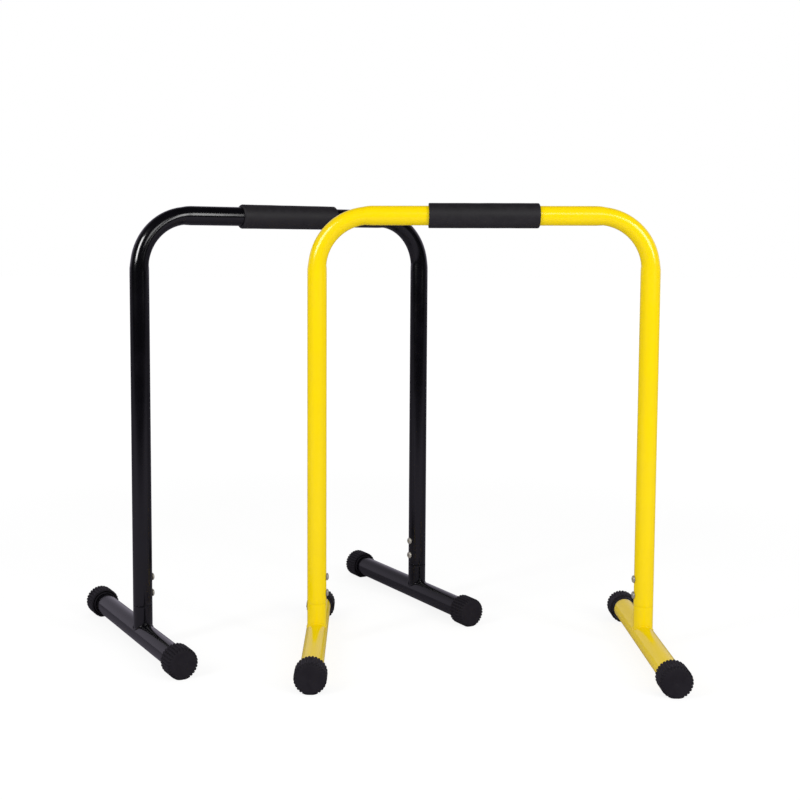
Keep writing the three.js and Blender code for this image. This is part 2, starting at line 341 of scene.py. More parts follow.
    def close(self, geometry: bpy.types.NodeSocket, forget: Iterable[str] = ()) -> None:
        """Ends a geometry tree: plain smooth geometry with its material.

        Args:
            geometry: the finished geometry.
            forget: attributes that only the tree needed.
        """
        for name in forget:
            node = self.add("GeometryNodeRemoveAttribute", {"Geometry": geometry, "Name": name})
            geometry = node.outputs[0]
        smooth = self.add("GeometryNodeSetShadeSmooth", {"Geometry": geometry})
        real = self.add("GeometryNodeRealizeInstances", {"Geometry": smooth.outputs[0]})
        dressed = self.add(
            "GeometryNodeSetMaterial",
            {"Geometry": real.outputs[0], "Material": self.start["Material"]},
        )
        self.feed(self.end["Geometry"], dressed.outputs[0])


def linked(name: str, mesh: bpy.types.Mesh) -> bpy.types.Object:
    """An object for a mesh.

    Args:
        name: name of the object.
        mesh: its mesh.

    Returns:
        The object, linked in the scene.
    """
    piece = bpy.data.objects.new(name, mesh)
    bpy.context.scene.collection.objects.link(piece)
    return piece


def polyline(
    name: str,
    points: Sequence[Sequence[float]],
    marks: dict[str, Sequence[Sequence[float]]] | None = None,
) -> bpy.types.Object:
    """An object whose mesh is one open line of edges, for a geometry tree to work on.

    Args:
        name: name of the object.
        points: the line's points.
        marks: vectors that go with each point, by attribute name.

    Returns:
        The object, linked in the scene.
    """
    mesh = bpy.data.meshes.new(name)
    mesh.from_pydata(points, [(i, i + 1) for i in range(len(points) - 1)], [])
    for label, values in (marks or {}).items():
        attribute = mesh.attributes.new(label, "FLOAT_VECTOR", "POINT")
        attribute.data.foreach_set("vector", [float(x) for value in values for x in value])
    return linked(name, mesh)


def plain_mesh(piece: bpy.types.Object) -> bpy.types.Mesh:
    """The result of a working object's modifiers as a plain mesh. The object goes.

    Args:
        piece: the working object.

    Returns:
        The mesh.
    """
    bpy.context.view_layer.update()
    evaluated = piece.evaluated_get(bpy.context.evaluated_depsgraph_get())
    mesh = bpy.data.meshes.new_from_object(evaluated)
    piece.modifiers.clear()
    bpy.data.objects.remove(piece)
    return mesh


def grow(
    source: bpy.types.Object,
    lay_out: Callable[[TreeBuilder], None],
    finish: "Finish",
    sizes: dict[str, Any],
) -> bpy.types.Mesh:
    """Runs a geometry tree on an object. A tree is built when it is first needed.

    Args:
        source: the working object.
        lay_out: lays out the tree's nodes, and gives the tree its name.
        finish: finish of the result.
        sizes: the tree's sizes, by the names of its inputs.

    Returns:
        The result as a plain mesh.
    """
    name = lay_out.__name__
    if name not in bpy.data.node_groups:
        inputs = {"Geometry": Socket.GEOMETRY, **sizes, "Material": Socket.MATERIAL}
        outputs = {"Geometry": Socket.GEOMETRY}
        lay_out(TreeBuilder.group(TreeKind.GEOMETRY, name, inputs, outputs))
    modifier = source.modifiers.new(name, "NODES")
    modifier.node_group = bpy.data.node_groups[name]
    values = {**sizes, "Material": finish.material()}
    for item in modifier.node_group.interface.items_tree:
        if item.in_out == "INPUT" and item.name in values:
            modifier[item.identifier] = values[item.name]
    return plain_mesh(source)


def tidied(mesh: bpy.types.Mesh) -> bpy.types.Mesh:
    """Merges a mesh's doubles and turns its faces outwards.

    Args:
        mesh: the mesh.

    Returns:
        The same mesh.
    """
    work = bmesh.new()
    work.from_mesh(mesh)
    bmesh.ops.remove_doubles(work, verts=work.verts, dist=SAME_POINT)
    bmesh.ops.dissolve_degenerate(work, edges=work.edges, dist=SAME_POINT)
    bmesh.ops.recalc_face_normals(work, faces=work.faces)
    work.to_mesh(mesh)
    work.free()
    return mesh


def joined(name: str, parts: Iterable[bpy.types.Mesh]) -> bpy.types.Mesh:
    """One mesh made of several.

    Args:
        name: name of the mesh.
        parts: the meshes.

    Returns:
        The joined mesh.
    """
    work = bmesh.new()
    for part in parts:
        work.from_mesh(part)
    mesh = bpy.data.meshes.new(name)
    work.to_mesh(mesh)
    work.free()
    return mesh


def drilled(name: str, mesh: bpy.types.Mesh, cutter: bpy.types.Mesh) -> bpy.types.Mesh:
    """Cuts one mesh out of another.

    Args:
        name: name for the working objects.
        mesh: the body.
        cutter: what is cut away.

    Returns:
        The cut mesh.
    """
    body = linked(name, mesh)
    tool = linked(f"{name}_cutter", cutter)
    cut = body.modifiers.new("cut", "BOOLEAN")
    cut.operation = "DIFFERENCE"
    cut.solver = "EXACT"
    cut.object = tool
    result = plain_mesh(body)
    bpy.data.objects.remove(tool)
    return result


def revolved(name: str, profile: Profile, sides: int, along: Vector) -> bpy.types.Mesh:
    """A closed body revolved about an axis through the origin.

    Args:
        name: name of the mesh.
        profile: radius and place along the axis of each point of the section.
        sides: faces round the axis.
        along: the axis.

    Returns:
        The mesh, with its poles closed and its faces outwards.
    """
    turn = along.to_track_quat("Z", "Y").to_matrix()
    count = len(profile)
    points = []
    faces = []
    for step in range(sides):
        angle = FULL_TURN * step / sides
        for radius, place in profile:
            spot = Vector((radius * math.cos(angle), radius * math.sin(angle), place))
            points.append(turn @ spot)
        here = step * count
        there = (step + 1) % sides * count
        faces.extend((here + i, there + i, there + i + 1, here + i + 1) for i in range(count - 1))
    mesh = bpy.data.meshes.new(name)
    mesh.from_pydata(points, [], faces)
    return tidied(mesh)


def arc(middle: Span, radius: float, start: float, end: float, steps: int) -> Profile:
    """Points along an arc of a section.

    Args:
        middle: the arc's centre.
        radius: its radius.
        start: angle of its first point, in degrees.
        end: angle of its last point, in degrees.
        steps: steps from first to last.

    Returns:
        The points.
    """
    angles = [math.radians(start + (end - start) * i / steps) for i in range(steps + 1)]
    return [(middle[0] + radius * math.cos(a), middle[1] + radius * math.sin(a)) for a in angles]


def outwards(skin: bpy.types.Mesh, route: Sequence[Sequence[float]]) -> None:
    """Turns an open skin's faces away from the start of the route it follows.

    Args:
        skin: the open skin.
        route: corner points of its axis.
    """
    start = Vector(route[0])
    along = (Vector(route[1]) - start).normalized()
    nearest = min(skin.polygons, key=lambda face: (face.center - start).length)
    reach = nearest.center - start
    away = reach - along * reach.dot(along)
    if nearest.normal.dot(away) < 0:
        skin.flip_normals()


def set_down(
    name: str, mesh: bpy.types.Mesh, place: Matrix, finish: "Finish", *nodes: str
) -> bpy.types.Object:
    """Puts a finished piece in the scene, in place of the solids it stands for.

    Args:
        name: name of the piece.
        mesh: its mesh, about its own middle. Only its real edges stay sharp.
        place: where it stands.
        finish: its finish.
        *nodes: the solids it stands for.

    Returns:
        The piece.
    """
    mesh.shade_smooth()
    mesh.set_sharp_from_angle(angle=SMOOTH_ANGLE)
    mesh.transform(place)
    mesh.materials.clear()
    mesh.materials.append(finish.material())
    mesh.update()
    piece = linked(name, mesh)
    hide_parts(*nodes)
    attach(piece, BODY)
    log.info("%s: %d faces, for %s", name, len(mesh.polygons), ", ".join(nodes))
    return piece


class Patterns:
    """Node groups that the finishes share, each built when it is first asked for.

    The spans are values of a texture, or of a normal's Z, between which a mask sets in.
    """

    PIT_WALL: Span = (0.05, 0.6)
    TONE_CHANGE: Span = (0.36, 0.66)
    LOOKS_UP: Span = (0.15, 0.95)
    DUST_GRAIN: Span = (0.42, 0.72)
    DUST_PATCH: Span = (0.3, 0.75)
    LEAST_DUST: float = 0.35
    GRAINS_PER_METRE: float = 420.0
    PATCHES_PER_METRE: float = 34.0

    @staticmethod
    @cache
    def fine_relief() -> bpy.types.NodeTree:
        """Small rises and dips, such as orange peel, foam cells or moulded grain.

        Returns:
            The node group.
        """
        b = TreeBuilder.group(
            TreeKind.SHADER,
            "fine_relief",
            {"Vector": Socket.VECTOR, "Cell Size": 1 * MM, "Cells": 0.5},
            {"Height": Socket.NUMBER},
        )
        place = {
            "Vector": b.start["Vector"],
            "Scale": b.math("DIVIDE", 1.0, b.start["Cell Size"]),
        }
        soft = b.add("ShaderNodeTexNoise", {**place, "Detail": 2.0, "Roughness": 0.55})
        cells = b.add("ShaderNodeTexVoronoi", {**place, "Randomness": 0.9})
        pits = b.ramp(cells.outputs["Distance"], *Patterns.PIT_WALL)
        celled = b.math("MULTIPLY", pits, b.start["Cells"])
        rest = b.math("SUBTRACT", 1.0, b.start["Cells"])
        height = b.math("ADD", celled, b.math("MULTIPLY", soft.outputs[0], rest))
        b.feed(b.end["Height"], height)
        return b.tree

    @staticmethod
    @cache
    def tone_drift() -> bpy.types.NodeTree:
        """A colour that drifts between two near tones in soft patches.

        Returns:
            The node group.
        """
        b = TreeBuilder.group(
            TreeKind.SHADER,
            "tone_drift",
            {
                "Vector": Socket.VECTOR,
                "Tone": (0.5, 0.5, 0.5, 1),
                "Other Tone": (0.4, 0.4, 0.4, 1),
                "Patch Size": 40 * MM,
            },
            {"Color": Socket.COLOUR, "Share": Socket.NUMBER},
        )
        scale = b.math("DIVIDE", 1.0, b.start["Patch Size"])
        patches = b.add(
            "ShaderNodeTexNoise",
            {
                "Vector": b.start["Vector"],
                "Scale": scale,
                "Detail": 3.0,
                "Roughness": 0.6,
                "Distortion": 0.4,
            },
        )
        share = b.ramp(patches.outputs[0], *Patterns.TONE_CHANGE)
        b.feed(b.end["Color"], b.blend(share, b.start["Tone"], b.start["Other Tone"]))
        b.feed(b.end["Share"], share)
        return b.tree

    @staticmethod
    @cache
    def settled_dust() -> bpy.types.NodeTree:
        """Where a little dust lies: on faces that look up, in patches.

        Returns:
            The node group.
        """
        b = TreeBuilder.group(
            TreeKind.SHADER,
            "settled_dust",
            {"Vector": Socket.VECTOR, "Up": 0.0, "Amount": 0.1},
            {"Mask": Socket.NUMBER},
        )
        where = {"Vector": b.start["Vector"]}
        fine = {"Scale": Patterns.GRAINS_PER_METRE, "Detail": 3.0, "Roughness": 0.7}
        broad = {"Scale": Patterns.PATCHES_PER_METRE, "Detail": 2.0, "Roughness": 0.5}
        specks = b.add("ShaderNodeTexNoise", where | fine)
        drifts = b.add("ShaderNodeTexNoise", where | broad)
        facing = b.ramp(b.start["Up"], *Patterns.LOOKS_UP)
        grains = b.ramp(specks.outputs[0], *Patterns.DUST_GRAIN)
        patches = b.ramp(drifts.outputs[0], *Patterns.DUST_PATCH, Patterns.LEAST_DUST)
        mask = b.math("MULTIPLY", b.math("MULTIPLY", facing, grains), patches)
        b.feed(b.end["Mask"], b.math("MULTIPLY", mask, b.start["Amount"]))
        return b.tree


@dataclass(frozen=True)
class Finish:
    """A finish that lies on one kind of surface, with the record's slot it belongs to."""

    name: str
    slot: str
    tone: Colour
    other_tone: Colour
    patch_size: float
    roughness: float
    roughness_drift: float
    cell_size: float
    cells: float
    relief_depth: float
    relief_strength: float
    dust: float = 0.0
    dust_tone: Colour = (0.30, 0.29, 0.28, 1)
    plain_values: tuple[tuple[str, float], ...] = ()

    def material(self) -> bpy.types.Material:
        """The material of this finish, built once."""
        return bpy.data.materials.get(self.name) or self._build()

    def _build(self) -> bpy.types.Material:
        """Lays out the material's nodes.

        Returns:
            The material.
        """
        material = bpy.data.materials.new(self.name)
        material.use_nodes = True
        material.diffuse_color = self.tone
        b = TreeBuilder(material.node_tree)
        shader = material.node_tree.nodes["Principled BSDF"]
        for label, value in self.plain_values:
            shader.inputs[label].default_value = value
        where = b.add("ShaderNodeTexCoord").outputs["Object"]
        colour, share = self._colour(b, where)
        roughness = b.math("MULTIPLY_ADD", share, self.roughness_drift, self.roughness)
        b.feed(shader.inputs["Base Color"], colour)
        b.feed(shader.inputs["Roughness"], roughness)
        b.feed(shader.inputs["Normal"], self._relief(b, where))
        return material

    def _colour(self, b: TreeBuilder, where: Any) -> tuple[Any, Any]:
        """The colour's nodes.

        Args:
            b: builder of the material's tree.
            where: socket of the place on the piece.

        Returns:
            Sockets of the colour and of the share of its other tone.
        """
        drift = b.add(
            "ShaderNodeGroup",
            {
                "Vector": where,
                "Tone": self.tone,
                "Other Tone": self.other_tone,
                "Patch Size": self.patch_size,
            },
            node_tree=Patterns.tone_drift(),
        )
        colour = drift.outputs["Color"]
        if self.dust:
            up = b.axes(b.add("ShaderNodeNewGeometry").outputs["Normal"])["Z"]
            layer = b.add(
                "ShaderNodeGroup",
                {"Vector": where, "Up": up, "Amount": self.dust},
                node_tree=Patterns.settled_dust(),
            )
            colour = b.blend(layer.outputs["Mask"], colour, self.dust_tone)
        return colour, drift.outputs["Share"]

    def _relief(self, b: TreeBuilder, where: Any) -> Any:
        """The surface relief's nodes.

        Args:
            b: builder of the material's tree.
            where: socket of the place on the piece.

        Returns:
            Socket of the bumped normal.
        """
        relief = b.add(
            "ShaderNodeGroup",
            {"Vector": where, "Cell Size": self.cell_size, "Cells": self.cells},
            node_tree=Patterns.fine_relief(),
        )
        bump = b.add(
            "ShaderNodeBump",
            {
                "Strength": self.relief_strength,
                "Distance": self.relief_depth,
                "Height": relief.outputs["Height"],
            },
        )
        return bump.outputs["Normal"]


@dataclass(frozen=True)
class Finishes:
    """Every finish of the pair."""

    yellow: Finish = Finish(
        name="yellow_gloss_paint",
        slot="yellow_paint",
        tone=(0.975, 0.715, 0.0004, 1),
        other_tone=(0.960, 0.700, 0.0010, 1),
        patch_size=70 * MM,
        roughness=0.16,
        roughness_drift=0.04,
        cell_size=1.6 * MM,
        cells=0.15,
        relief_depth=0.05 * MM,
        relief_strength=0.10,
        plain_values=(("Specular IOR Level", 0.32),),
    )
    black: Finish = Finish(
        name="black_gloss_paint",
        slot="black_paint",
        tone=(0.0022, 0.0020, 0.0029, 1),
        other_tone=(0.0030, 0.0026, 0.0041, 1),
        patch_size=60 * MM,
        roughness=0.14,
        roughness_drift=0.04,
        cell_size=1.8 * MM,
        cells=0.15,
        relief_depth=0.05 * MM,
        relief_strength=0.03,
        dust=0.004,
        plain_values=(("Specular IOR Level", 0.5),),
    )
    foam: Finish = Finish(
        name="closed_cell_foam",
        slot="foam",
        tone=(0.0112, 0.0096, 0.0126, 1),
        other_tone=(0.0142, 0.0122, 0.0158, 1),
        patch_size=14 * MM,
        roughness=0.56,
        roughness_drift=0.08,
        cell_size=1.1 * MM,
        cells=0.6,
        relief_depth=0.25 * MM,
        relief_strength=0.4,
        plain_values=(("Specular IOR Level", 0.5),),
    )
    rubber: Finish = Finish(
        name="moulded_rubber",
        slot="rubber",
        tone=(0.0104, 0.0084, 0.0128, 1),
        other_tone=(0.0134, 0.0112, 0.0160, 1),
        patch_size=11 * MM,
        roughness=0.58,
        roughness_drift=0.12,
        cell_size=0.7 * MM,
        cells=0.35,
        relief_depth=0.08 * MM,
        relief_strength=0.35,
        dust=0.02,
        plain_values=(("Specular IOR Level", 0.22),),
    )
    zinc: Finish = Finish(
        name="zinc_plate",
        slot="zinc_plated_steel",
        tone=(0.62, 0.59, 0.52, 1),
        other_tone=(0.50, 0.48, 0.43, 1),
        patch_size=3 * MM,
        roughness=0.38,
        roughness_drift=0.10,
        cell_size=0.5 * MM,
        cells=0.3,
        relief_depth=0.03 * MM,
        relief_strength=0.3,
        plain_values=(("Metallic", 0.65),),
    )
    steel: Finish = Finish(
        name="drawn_steel",
        slot="bare_steel",
        tone=(0.42, 0.43, 0.44, 1),
        other_tone=(0.32, 0.32, 0.33, 1),
        patch_size=9 * MM,
        roughness=0.42,
        roughness_drift=0.15,
        cell_size=0.6 * MM,
        cells=0.1,
        relief_depth=0.04 * MM,
        relief_strength=0.3,
        plain_values=(("Metallic", 1.0),),
    )

    def paint(self, colour: Paint) -> Finish:
        """The paint of a bar."""
        return self.yellow if colour is Paint.YELLOW else self.black


@dataclass(frozen=True)
class Stance:
    """Where one bar stands: its middle on the floor and its turn about +Z."""

    middle: Vector
    turn: float

    @classmethod
    def between(cls, first: str, second: str) -> "Stance":
        """The stance of a bar from the solids inside its two legs.

        Args:
            first: a solid about the axis of the leg at -X.
            second: a solid about the axis of the leg at +X.

        Returns:
            The stance.
        """
        feet = []
        for node in (first, second):
            low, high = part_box(node)
            feet.append((low + high) / 2)
        span = feet[1] - feet[0]
        middle = (feet[0] + feet[1]) / 2
        return cls(Vector((middle.x, middle.y, 0)), math.atan2(span.y, span.x))

    def place(self, offset: Sequence[float] = (0, 0, 0), turn: float = 0.0) -> Matrix:
        """The place of a piece of this bar.

        Args:
            offset: the piece's place on the bar.
            turn: the piece's own turn about +Z, in radians.

        Returns:
            The place in the frame.
        """
        return (
            Matrix.Translation(self.middle)
            @ Matrix.Rotation(self.turn, 4, "Z")
            @ Matrix.Translation(offset)
            @ Matrix.Rotation(turn, 4, "Z")
        )


@dataclass(frozen=True)
class LegSite:
    """One leg of a bar: its name, its side, and the stance and spacing of the bar's legs."""

    name: str
    side: Leg
    stance: Stance
    spacing: float

    @property
    def x(self) -> float:
        """Place of the leg's axis along the bar."""
        return self.side.value * self.spacing / 2


@dataclass(frozen=True)
class Bends:
    """Bends of a tube's route, and how far the tube flattens in them.

    They start at from_x on either side of the middle and at from_z up, and the flattening
    sets in over run_in. The tube is scaled by in_plane and across. The defaults bend nothing.
    """

    radius: float = 0.0
    steps: int = 30
    from_x: float = 1.0
    from_z: float = 1.0
    run_in: float = 10 * MM
    in_plane: float = 1.0
    across: float = 1.0


@dataclass(frozen=True)
class RoundTube:
    """A round steel tube that follows a route, with its wall and softened ends."""

    diameter: float
    wall: float
    sides: int = 64
    sample_length: float = 7 * MM
    end_softening: float = 0.2 * MM
    softening_steps: int = 2
    end_angle: float = math.radians(60)

    @property
    def radius(self) -> float:
        """Outer radius."""
        return self.diameter / 2

    @staticmethod
    def tube_along_route(b: TreeBuilder) -> None:
        """Lays out the geometry tree that sweeps a tube along a route and flattens its bends.

        Args:
            b: builder of the tree.
        """
        line = b.add("GeometryNodeMeshToCurve", {"Mesh": b.start["Geometry"]})
        rounded = b.add(
            "GeometryNodeFilletCurve",
            {
                "Curve": line.outputs[0],
                "Radius": b.start["Bend Radius"],
                "Count": b.start["Bend Steps"],
                "Limit Radius": True,
            },
            mode="POLY",
        )
        route = b.add(
            "GeometryNodeResampleCurve",
            {"Curve": rounded.outputs[0], "Length": b.start["Sample Length"]},
            mode="LENGTH",
        )
        spot = b.add("GeometryNodeInputPosition").outputs[0]
        marked = b.store(route.outputs[0], "route_point", "FLOAT_VECTOR", spot)
        ring = b.circle(Resolution=b.start["Sides"], Radius=b.start["Tube Radius"])
        swept = b.sweep(marked, ring)
        centre = b.named("route_point", "FLOAT_VECTOR")
        along = b.axes(centre)
        past_x = b.math("SUBTRACT", b.math("ABSOLUTE", along["X"]), b.start["Bend From X"])
        past_z = b.math("SUBTRACT", along["Z"], b.start["Bend From Z"])
        bent = b.ramp(b.math("MINIMUM", past_x, past_z), 0.0, b.start["Bend Run-in"])
        in_plane, across = (
            b.math("MULTIPLY_ADD", bent, b.math("SUBTRACT", b.start[scale], 1.0), 1.0)
            for scale in ("In-plane Scale", "Cross Scale")
        )
        offset = b.vector("SUBTRACT", spot, centre)
        scaled = b.vector("MULTIPLY", offset, b.point(in_plane, across, in_plane))
        b.close(b.move(swept, b.vector("ADD", centre, scaled)), forget=["route_point"])

    def along(
        self,
        name: str,
        route: Sequence[Sequence[float]],
        finish: Finish,
        bends: Bends = Bends(),
    ) -> bpy.types.Mesh:
        """Makes the tube.

        Args:
            name: name of the mesh.
            route: corner points of the tube's axis.
            finish: its finish.
            bends: its bends.

        Returns:
            The mesh of a tube with its wall and softened ends.
        """
        sizes = {
            "Tube Radius": self.radius,
            "Sides": self.sides,
            "Sample Length": self.sample_length,
            "Bend Radius": bends.radius,
            "Bend Steps": bends.steps,
            "Bend From X": bends.from_x,
            "Bend From Z": bends.from_z,
            "Bend Run-in": bends.run_in,
            "In-plane Scale": bends.in_plane,
            "Cross Scale": bends.across,
        }
        skin = tidied(grow(polyline(name, route), self.tube_along_route, finish, sizes))
        outwards(skin, route)
        body = linked(name, skin)
        shell = body.modifiers.new("wall", "SOLIDIFY")
        shell.thickness = self.wall
        shell.offset = -1
        shell.use_even_offset = True
        edge = body.modifiers.new("softened ends", "BEVEL")
        edge.width = self.end_softening
        edge.segments = self.softening_steps
        edge.limit_method = "ANGLE"
        edge.angle_limit = self.end_angle
        return plain_mesh(body)


@dataclass(frozen=True)
class LegBolts:
    """The two domed bolts that run into the inner side of a leg.

    The seat is a distance from the leg's axis, and drill_reach is a multiple of it.
    """

    first_height: float = 96 * MM
    pitch: float = 28.5 * MM
    seat: float = 17.15 * MM
    length: float = 14.8 * MM
    diameter: float = 8 * MM
    head_diameter: float = 13 * MM
    head_height: float = 4.2 * MM
    head_rim: float = 1 * MM
    head_chamfer: float = 0.2 * MM
    socket_width: float = 5 * MM
    socket_depth: float = 2.4 * MM
    socket_sides: int = 6
    thread_pitch: float = 1.25 * MM
    thread_depth: float = 0.6 * MM
    plain_shank: float = 2.2 * MM
    tip: float = 0.8 * MM
    drill_reach: float = 1.4
    sides: int = 32
    steps_per_thread: int = 6
    dome_steps: int = 8
    count: int = 2

    def drills(self, leg_x: float) -> list[bpy.types.Mesh]:
        """Drills for the bolts of one leg, on the side towards the middle of the bar.

        Args:
            leg_x: place of the leg's axis.

        Returns:
            The drills' meshes.
        """
        radius = self.diameter / 2 + CLEARANCE
        reach = self.drill_reach * self.seat
        inward = Vector((-math.copysign(1, leg_x), 0, 0))
        profile = [(0, 0), (radius, 0), (radius, reach), (0, reach)]
        drills = []
        for i in range(self.count):
            drill = revolved("drill", profile, self.sides, inward)
            drill.transform(Matrix.Translation((leg_x, 0, self.first_height + i * self.pitch)))
            drills.append(drill)
        return drills

    def bolt(self) -> bpy.types.Mesh:
        """One bolt along X: the head's seat at x = 0 and its shank towards +X.

        Returns:
            The bolt's mesh.
        """
        head = self.head_diameter / 2
        dome_rise = self.head_height - self.head_rim
        dome = [
            (head * math.cos(a), -self.head_rim - dome_rise * math.sin(a))
            for a in np.linspace(math.pi / 2, 0, self.dome_steps)
        ]
        under_head = [(head, -self.head_chamfer), (head - self.head_chamfer, 0)]
        shank = self.diameter / 2
        neck = [(shank, 0), (shank, self.plain_shank)]
        threaded = self.length - self.plain_shank - self.tip
        count = round(threaded / self.thread_pitch * self.steps_per_thread)
        rings = [(shank, self.plain_shank + threaded * i / count) for i in range(1, count + 1)]
        end = [(shank - self.thread_depth, self.length), (0, self.length)]
        mesh = revolved("bolt", dome + under_head + neck + rings + end, self.sides, ALONG_X)
        for vertex in mesh.vertices:
            self._cut_thread(vertex)
        corner = self.socket_width / 2 / math.cos(math.pi / self.socket_sides)
        depth = self.socket_depth
        section = [(0, -depth), (corner, -depth), (corner, depth), (0, depth)]
        socket = revolved("socket", section, self.socket_sides, ALONG_X)
        socket.transform(Matrix.Translation((-self.head_height, 0, 0)))
        return drilled("bolt", mesh, socket)

    def _cut_thread(self, vertex: bpy.types.MeshVertex) -> None:
        """Moves a point of the shank in to where the thread's groove is.

        Args:
            vertex: the point.
        """
        along = vertex.co.x
        start = self.plain_shank + self.thread_pitch / 4
        stop = self.length - self.tip - self.thread_pitch / 4
        radius = math.hypot(vertex.co.y, vertex.co.z)
        if not start < along < stop or radius < self.diameter / 4:
            return
        turn = math.atan2(vertex.co.z, vertex.co.y) / FULL_TURN
        phase = (along / self.thread_pitch - turn) % 1
        groove = self.thread_depth * abs(2 * phase - 1)
        vertex.co.y *= 1 - groove / radius
        vertex.co.z *= 1 - groove / radius

    @staticmethod
    def bolts_up_a_leg(b: TreeBuilder) -> None:
        """Lays out the geometry tree that repeats a bolt up a leg, each turned by chance.

        Args:
            b: builder of the tree.
        """
        line = b.add(
            "GeometryNodeMeshLine",
            {
                "Count": b.start["Count"],
                "Start Location": b.point(0.0, 0.0, b.start["First Height"]),
                "Offset": b.point(0.0, 0.0, b.start["Pitch"]),
            },
        )
        angle = b.chance(Max=b.start["Loosest Turn"], Seed=b.start["Seed"])
        placed = b.add(
            "GeometryNodeInstanceOnPoints",
            {
                "Points": line.outputs[0],
                "Instance": b.start["Geometry"],
                "Rotation": b.point(angle, 0.0, 0.0),
            },
        )
        b.close(placed.outputs[0])

    def build(self, site: LegSite, finish: Finish) -> None:
        """Makes the bolts of one leg.

        Args:
            site: the leg.
            finish: finish of the bolts.
        """
        name = f"{site.name}_bolts"
        sizes = {
            "Count": self.count,
            "First Height": self.first_height,
            "Pitch": self.pitch,
            "Loosest Turn": FULL_TURN,
            "Seed": len(site.name) + site.side.value,
        }
        mesh = grow(linked(name, self.bolt()), self.bolts_up_a_leg, finish, sizes)
        offset = (site.side.value * (site.spacing / 2 - self.seat), 0, 0)
        place = site.stance.place(offset, 0.0 if site.side is Leg.PLUS_X else math.pi)
        nodes = (f"{site.name}_lower_bolt", f"{site.name}_upper_bolt")
        set_down(name, mesh, place, finish, *nodes)


@dataclass(frozen=True)
class HoopFrame:
    """The bent tube: two legs and the hand bar."""

    overall_height: float = 775 * MM
    leg_spacing: float = 574 * MM
    joint_height: float = 78 * MM
    bend_radius: float = 91.5 * MM
    bend_in_plane: float = 0.93
    bend_across: float = 1.03
    tube: RoundTube = RoundTube(diameter=33.7 * MM, wall=2 * MM)

    @property
    def bar_height(self) -> float:
        """Height of the hand bar's axis."""
        return self.overall_height - self.tube.radius

    def build(self, bar: str, stance: Stance, bolts: LegBolts, finish: Finish) -> None:
        """Makes the bent tube with its bolt holes.

        Args:
            bar: name of the bar.
            stance: where it stands.
            bolts: bolts whose holes it has.
            finish: its paint.
        """
        name = f"{bar}_frame_tube_painted"
        side = self.leg_spacing / 2
        route = [
            (-side, 0, self.joint_height),
            (-side, 0, self.bar_height),
            (side, 0, self.bar_height),
            (side, 0, self.joint_height),
        ]
        bends = Bends(
            radius=self.bend_radius,
            from_x=side - self.bend_radius,
            from_z=self.bar_height - self.bend_radius,
            in_plane=self.bend_in_plane,
            across=self.bend_across,
        )
        tube = self.tube.along(name, route, finish, bends)
        drills = joined("drills", bolts.drills(-side) + bolts.drills(side))
        mesh = drilled("frame", tube, drills)
        set_down(name, mesh, stance.place(), finish, f"{bar}_frame_tube")


@dataclass(frozen=True)
class HandGrip:
    """The foam sleeve round the middle of the hand bar.

    The tight edge rounds its end at -X and the loose edge the one at +X. Its skin is uneven
    only further out than even_depth over the bore.
    """

    length: float = 190 * MM
    diameter: float = 43.5 * MM
    tight_edge: float = 0.9 * MM
    loose_edge: float = 3.2 * MM
    sides: int = 112
    ring_pitch: float = 2 * MM
    edge_steps: int = 5
    unevenness: float = 0.3 * MM
    unevenness_size: float = 26 * MM
    unevenness_seed: Span = (3.0, 7.0)
    even_depth: float = 1 * MM
    fill: float = 1.0

    def _section(self, bore: float) -> Profile:
        """The sleeve's section: bore, ends and outside, from one end to the other.

        Args:
            bore: radius of the bore.

        Returns:
            Radius and place of each point, first and last ones the same.
        """
        end = self.length / 2
        outside = self.diameter / 2
        tight, loose = self.tight_edge, self.loose_edge
        left = arc((outside - tight, -end + tight), tight, -90, 0, self.edge_steps)
        right = arc((outside - loose, end - loose), loose, 0, 90, self.edge_steps)
        span = right[0][1] - left[-1][1]
        count = max(2, round(span / self.ring_pitch))
        skin = [(outside, left[-1][1] + span * i / count) for i in range(1, count)]
        return [(bore, -end), *left, *skin, *right, (bore, end), (bore, -end)]

    def build(self, bar: str, stance: Stance, hoop: HoopFrame, finish: Finish) -> None:
        """Makes the sleeve, even round its bore and slightly uneven outside.

        Args:
            bar: name of the bar.
            stance: where it stands.
            hoop: the frame it sits on.
            finish: its foam.
        """
        name = f"{bar}_hand_grip_foam"
        bore = hoop.tube.radius + CLEARANCE
        mesh = revolved(name, self._section(bore), self.sides, ALONG_X)
        seed = Vector((len(bar), *self.unevenness_seed))
        for vertex in mesh.vertices:
            radius = math.hypot(vertex.co.y, vertex.co.z)
            if radius > bore + self.even_depth:
                rise = (noise.noise(vertex.co / self.unevenness_size + seed) + 1) / 2
                share = 1 - self.unevenness * rise / radius
                vertex.co.y *= share
                vertex.co.z *= share
        place = stance.place((0, 0, hoop.bar_height))
        sleeve = set_down(name, mesh, place, finish, f"{bar}_hand_grip")


